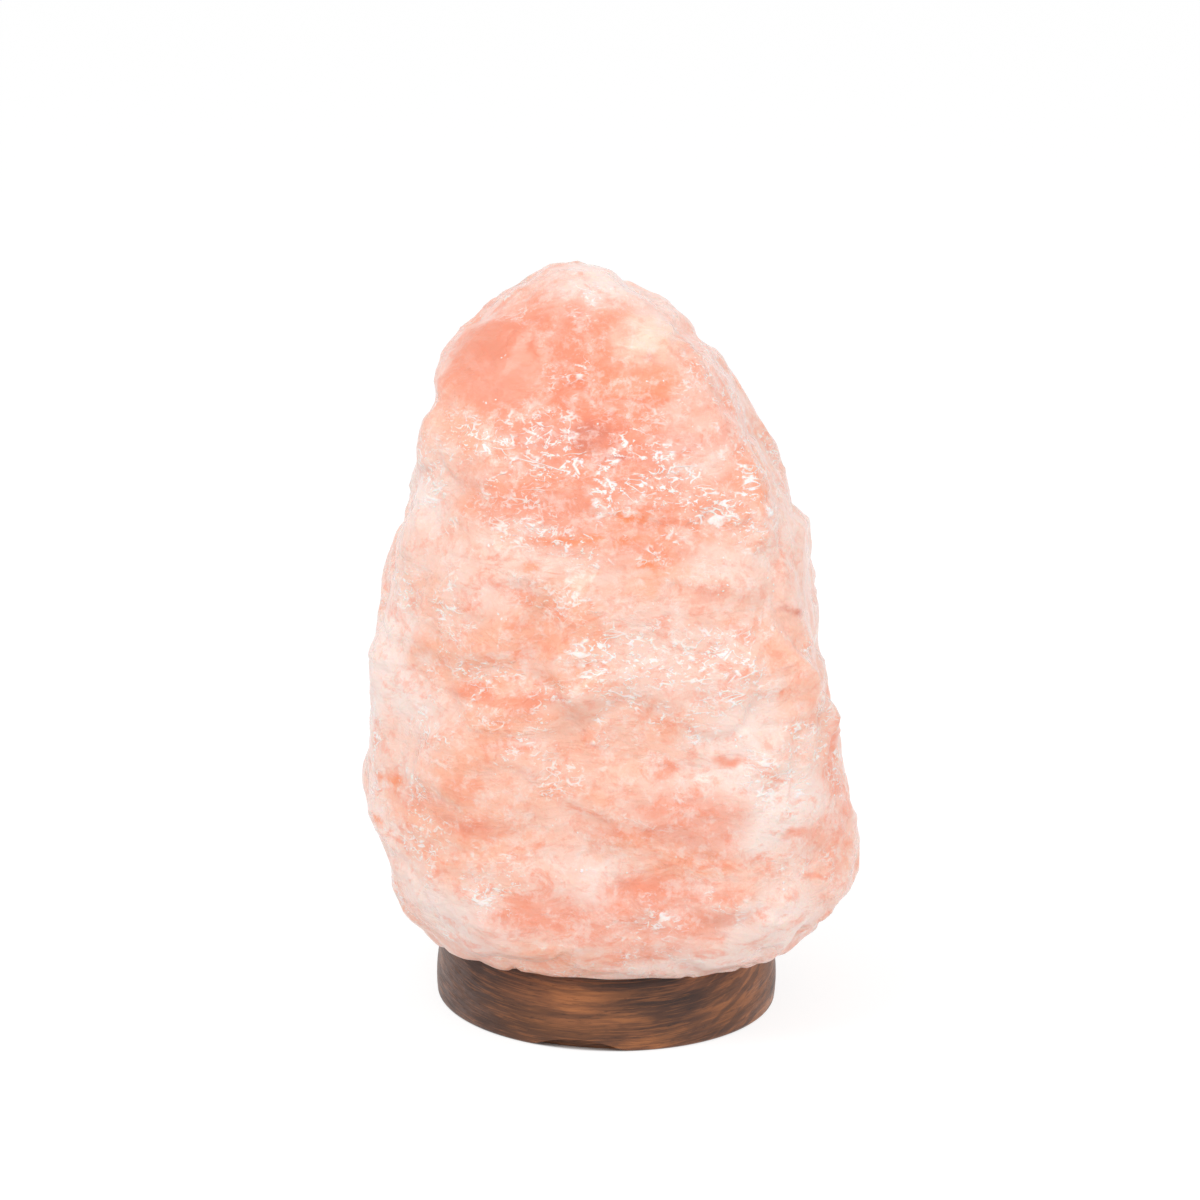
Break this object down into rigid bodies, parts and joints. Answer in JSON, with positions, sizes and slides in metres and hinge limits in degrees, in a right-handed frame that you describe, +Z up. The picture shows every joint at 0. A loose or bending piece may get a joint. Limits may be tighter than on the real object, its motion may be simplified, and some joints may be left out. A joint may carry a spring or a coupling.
{
  "type": "salt crystal lamp",
  "caption": "Hewn pink salt rock, hollowed from below, on a turned dark wooden base, lit by a screw-in bulb in a pull-out holder with spring wings.",
  "frame": {"origin": "centre of the underside of the wooden base, on the axis of its bore, which is also the bottom centre of the whole lamp's box", "axes": "+Z up, +Y to the back, where the cord notch of the base is, +X to the right as seen from the front"},
  "size_m": [0.157, 0.1384, 0.237],
  "materials": {
    "salt": "polished, faintly translucent, veined",
    "dark_wood": "satin, dark stain",
    "zinc_steel": "zinc plated",
    "spring_steel": "smooth",
    "grey_plastic": "moulded",
    "white_plastic": "moulded",
    "cream_plastic": "moulded",
    "brass": "drawn",
    "solder": "soft, dull",
    "dark_insulator": "opaque black glass",
    "nickel": "nickel plated",
    "clear_glass": "clear",
    "tungsten": "drawn wire"
  },
  "bodies": {
    "lamp_body": {"salt_crystal": "salt", "wooden_base": "dark_wood", "base_screws": "zinc_steel", "wall_plugs": "grey_plastic"},
    "holder": {"holder_sleeve": "white_plastic", "holder_cap": "white_plastic", "cord_nipple": "brass", "socket_insert": "cream_plastic", "screw_shell": "brass", "centre_contact": "brass", "terminal_blocks": "brass", "terminal_screws": "zinc_steel", "clip_collar": "spring_steel", "wing_roots": "spring_steel", "clip_rivets": "zinc_steel"},
    "left_wing": {"left_wing": "spring_steel"},
    "right_wing": {"right_wing": "spring_steel"},
    "bulb_tip": {"bulb_tip_contact": "solder", "bulb_cap_insulator": "dark_insulator"},
    "bulb": {"bulb_cap": "nickel", "bulb_glass": "clear_glass", "bulb_stem": "clear_glass", "filament": "tungsten", "filament_supports": "nickel"}
  },
  "joints": [
    {"name": "holder_slide", "type": "slide", "parent": "lamp_body", "child": "holder", "axis": [0, 0, -1], "range_m": [0, 0.11]},
    {"name": "left_wing_flex", "type": "hinge", "parent": "holder", "child": "left_wing", "pos_m": [-0.0152, 0, 0.05], "axis": [0, -1, 0], "range_deg": [0, 12], "stiffness_Nm_per_rad": 0.05, "springref_deg": -5.73},
    {"name": "right_wing_flex", "type": "hinge", "parent": "holder", "child": "right_wing", "pos_m": [0.0152, 0, 0.05], "axis": [0, 1, 0], "range_deg": [0, 12], "stiffness_Nm_per_rad": 0.05, "springref_deg": -5.73},
    {"name": "bulb_travel", "type": "slide", "parent": "holder", "child": "bulb_tip", "axis": [0, 0, 1], "range_m": [0, 0.01411]},
    {"name": "bulb_turn", "type": "hinge", "parent": "bulb_tip", "child": "bulb", "pos_m": [0, 0, 0.058], "axis": [0, 0, 1], "range_deg": [0, 1800]}
  ],
  "couplings": [
    {"joint": "bulb_turn", "follows": "bulb_travel", "rad_per_m": 2226.5}
  ]
}
